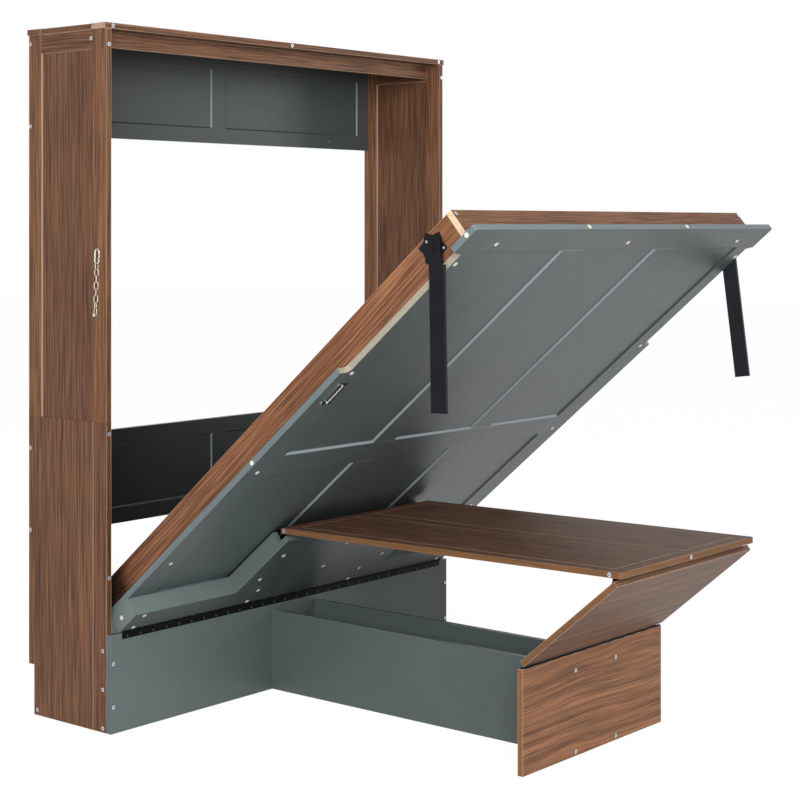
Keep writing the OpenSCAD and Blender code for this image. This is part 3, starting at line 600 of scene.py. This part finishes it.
def dress_bed():
    # painted shade under the bed and the desk, darkest to the right, and painted light on the
    # narrow sides
    box = lacquer("bed", 2, shade=0.78, side_shade=2.05, fade=(1.12, 0.35), only_face_worn=True)
    for part in ("box_strip_board", "box_stem_board", "box_foot_board"):
        dress(part, box, THIN_EDGE)
    for side, seed in (("left", 4), ("right", 9)):
        dress(side + "_bed_rail", walnut("bed", "Z", "X", seed, tone=(1.40, 1.31, 1.20), nook=True))
        for part in ("box_%s_end", "box_%s_edge", "stem_%s_edge"):
            dress(part % side, box, THIN_EDGE)
    # painted highlight and shade on its borders, painted shade at their feet and in its nooks,
    # darker to the right
    dress("underside_panel", lacquer("bed", 0, shade=0.94, walls=(0.68, 0.68, 0.55, -0.85),
                                     fade=(1.0, 0.84), underside=True))
    dress("head_rail", walnut("bed", "X", "Z", 5, ends="raw", tone=(1.02, 0.97, 0.86),
                              spread=0.07))
    dress("foot_rail", walnut("bed", "X", "Z", 7))
    pine = mottled("pine", "bed", srgb(204, 170, 122), srgb(226, 196, 150), 0.6, 22.0,
                   (0.05, 1.0, 1.0))
    for i in (1, 2, 3):
        dress("cross_batten_%d" % i, pine)


def dress_desk():
    # painted shade: the desk's walnut is toned darker and greyer for the shade under the bed
    tone = (0.76, 0.84, 0.99)
    rim = srgb(132, 94, 60)
    for side, seed in (("left", 5), ("right", 10)):
        dress("desk_%s_stile" % side, walnut("desk", "Y", "Z", seed, tone, line=0.2, rim=rim))
        dress("desk_%s_field" % side, walnut("desk", "Y", "Z", seed + 2, tone, line=0.9,
                                             spread=0.07), SHARP)
    dress("desk_outer_rail", walnut("desk", "X", "Z", 12, tone, line=0.5, rim=rim))
    dress("desk_inner_rail", walnut("desk", "X", "Z", 13, tone, line=0.3))
    dress("desk_centre_stile", walnut("desk", "Y", "Z", 14, tone, line=0.2, spread=0.07))
    dress("prop_panel", walnut("prop", "X", "Y", 15, tone=(0.98, 1.06, 1.10), wave=0.08,
                               figure=MIXED_FIGURE, bands=CLOSE_BANDS))


def dress_fittings():
    for leaf, where, axis, row in (
            ("bed_hinge_rail_leaf", "world", "Z", 0.2995),
            ("bed_hinge_box_leaf", "bed", "Z", 0.0070),
            ("desk_hinge_box_leaf", "bed", "Z", 0.3995),
            ("desk_hinge_desk_leaf", "desk", "Y", -0.0125),
            ("prop_hinge_end_leaf", "world", "Z", 0.3275),
            ("prop_hinge_prop_leaf", "prop", "Z", 0.0125),
            ("nose_hinge_desk_leaf", "desk", "Y", -1.2700),
            ("nose_hinge_prop_leaf", "prop", "Z", 0.3995)):
        dress(leaf, hinge("hinge_" + leaf, where, axis, row), SHARP)
    black = coated("black_coat", srgb(12, 13, 17), srgb(18, 19, 24))
    # painted light: the right leg has a lighter copy of the same black coat
    black_painted_light = coated("black_coat_painted_light", srgb(30, 32, 37), srgb(38, 40, 46))
    dress("left_leg", black, LEG_EDGE)
    dress("right_leg", black_painted_light, LEG_EDGE)
    for side in ("left", "right"):
        dress(side + "_leg_bracket", black, THIN_EDGE)
    zinc = plated("zinc_plate", srgb(206, 212, 218), srgb(248, 250, 252))
    for part in ("cabinet_bolts", "base_bolts", "bed_bolts", "desk_bolts"):
        dress(part, zinc, BOLT_EDGE)
    nickel = plated("nickel_plate", srgb(222, 220, 210), srgb(250, 248, 240))
    for part in ("chain_eye", "safety_chain", "snap_hook", "hook_gate", "chain_anchor"):
        dress(part, nickel, SHARP)
    dress("pull_handle", bronze_painted_highlight("handle_bronze"), HANDLE_EDGE)
    cream = mottled("cap_cream", "world", srgb(226, 218, 200), srgb(236, 230, 214), 0.45, 300.0)
    dress("cover_caps", cream, BOLT_EDGE)


# ---------------------------------------------------------------- floor, light, camera
def seen_ray(tree):
    """1 for rays that show the background: straight, mirrored or through glass."""
    path = tree.nodes.new("ShaderNodeLightPath")
    total = path.outputs["Is Camera Ray"]
    for kind in ("Is Glossy Ray", "Is Transmission Ray"):
        more = tree.nodes.new("ShaderNodeMath")
        more.operation = "ADD"
        more.use_clamp = True
        tree.links.new(total, more.inputs[0])
        tree.links.new(path.outputs[kind], more.inputs[1])
        total = more.outputs[0]
    return total


def floor_material():
    """Pale matt floor for the lamps; where it is seen as background it is almost white and keeps
    a weak shadow of the object."""
    t = Tree("floor_white")
    coordinates = t.node("ShaderNodeTexCoord")
    cloud = t.span(t.noise(coordinates.outputs["Object"], 3.0, 3.0), 0.3, 0.7)
    colour = t.mix(cloud, (0.62, 0.62, 0.62, 1), (0.60, 0.60, 0.60, 1))
    matt = t.node("ShaderNodeBsdfDiffuse", {"Color": colour})
    glow = t.node("ShaderNodeEmission", {"Color": (1, 1, 1, 1), "Strength": 0.955})
    weak = t.node("ShaderNodeBsdfDiffuse", {"Color": (0.10, 0.10, 0.10, 1)})
    seen = t.node("ShaderNodeAddShader", {0: glow.outputs[0], 1: weak.outputs[0]})
    either = t.node("ShaderNodeMixShader", {0: seen_ray(t.tree), 1: matt.outputs[0],
                                            2: seen.outputs[0]})
    t.node("ShaderNodeOutputMaterial", {0: either.outputs[0]})
    return t.mat


def lay_floor():
    bpy.ops.mesh.primitive_plane_add(size=60, location=(0, 0, 0))
    floor = bpy.context.object
    floor.name = "floor"
    floor.data.materials.append(floor_material())


def light_world():
    """Dim sky for the object's light, white where the background is seen."""
    world = bpy.data.worlds.new("studio")
    bpy.context.scene.world = world
    world.use_nodes = True
    tree = world.node_tree
    tree.nodes.clear()
    either = tree.nodes.new("ShaderNodeMixShader")
    tree.links.new(seen_ray(tree), either.inputs[0])
    for socket, colour, strength in ((1, (0.96, 0.98, 1.0, 1), 0.36), (2, (1, 1, 1, 1), 1.0)):
        sky = tree.nodes.new("ShaderNodeBackground")
        sky.inputs["Color"].default_value = colour
        sky.inputs["Strength"].default_value = strength
        tree.links.new(sky.outputs[0], either.inputs[socket])
    output = tree.nodes.new("ShaderNodeOutputWorld")
    tree.links.new(either.outputs[0], output.inputs[0])


def area_lamp(name, place, aim, size, power, colour=(1, 1, 1)):
    """Soft lamp of a width and height, turned from its place to what it aims at."""
    light = bpy.data.lights.new(name, "AREA")
    light.shape = "RECTANGLE"
    light.size, light.size_y = size
    light.energy = power
    light.color = colour
    lamp = bpy.data.objects.new(name, light)
    bpy.context.scene.collection.objects.link(lamp)
    lamp.location = place
    lamp.rotation_euler = (Vector(aim) - Vector(place)).to_track_quat("-Z", "Y").to_euler()


def set_camera():
    """Camera of the photograph, solved from the straight edges of the cabinet and the base."""
    data = bpy.data.cameras.new("camera")
    data.sensor_width = 36.0
    data.lens = 81.16
    data.shift_y = -0.2181
    data.clip_end = 200
    camera = bpy.data.objects.new("camera", data)
    bpy.context.scene.collection.objects.link(camera)
    camera.location = (-4.6319, -4.3229, 1.5992)
    camera.rotation_euler = (math.radians(90), 0, math.radians(-50.34))
    bpy.context.scene.camera = camera


dress_cabinet()
dress_bed()
dress_desk()
dress_fittings()
lay_floor()
light_world()
area_lamp("key", (-5.6, -4.6, 2.9), (0, -0.4, 1.0), (3.2, 3.0), 400, (1.0, 0.985, 0.965))
area_lamp("front", (-1.5, -6.8, 1.9), (0, -0.6, 0.9), (3.4, 2.4), 110, (1.0, 0.99, 0.97))
area_lamp("right", (5.8, -4.0, 2.2), (0, -0.6, 0.8), (2.2, 2.6), 60)
set_camera()
bpy.context.scene.view_settings.view_transform = "Standard"
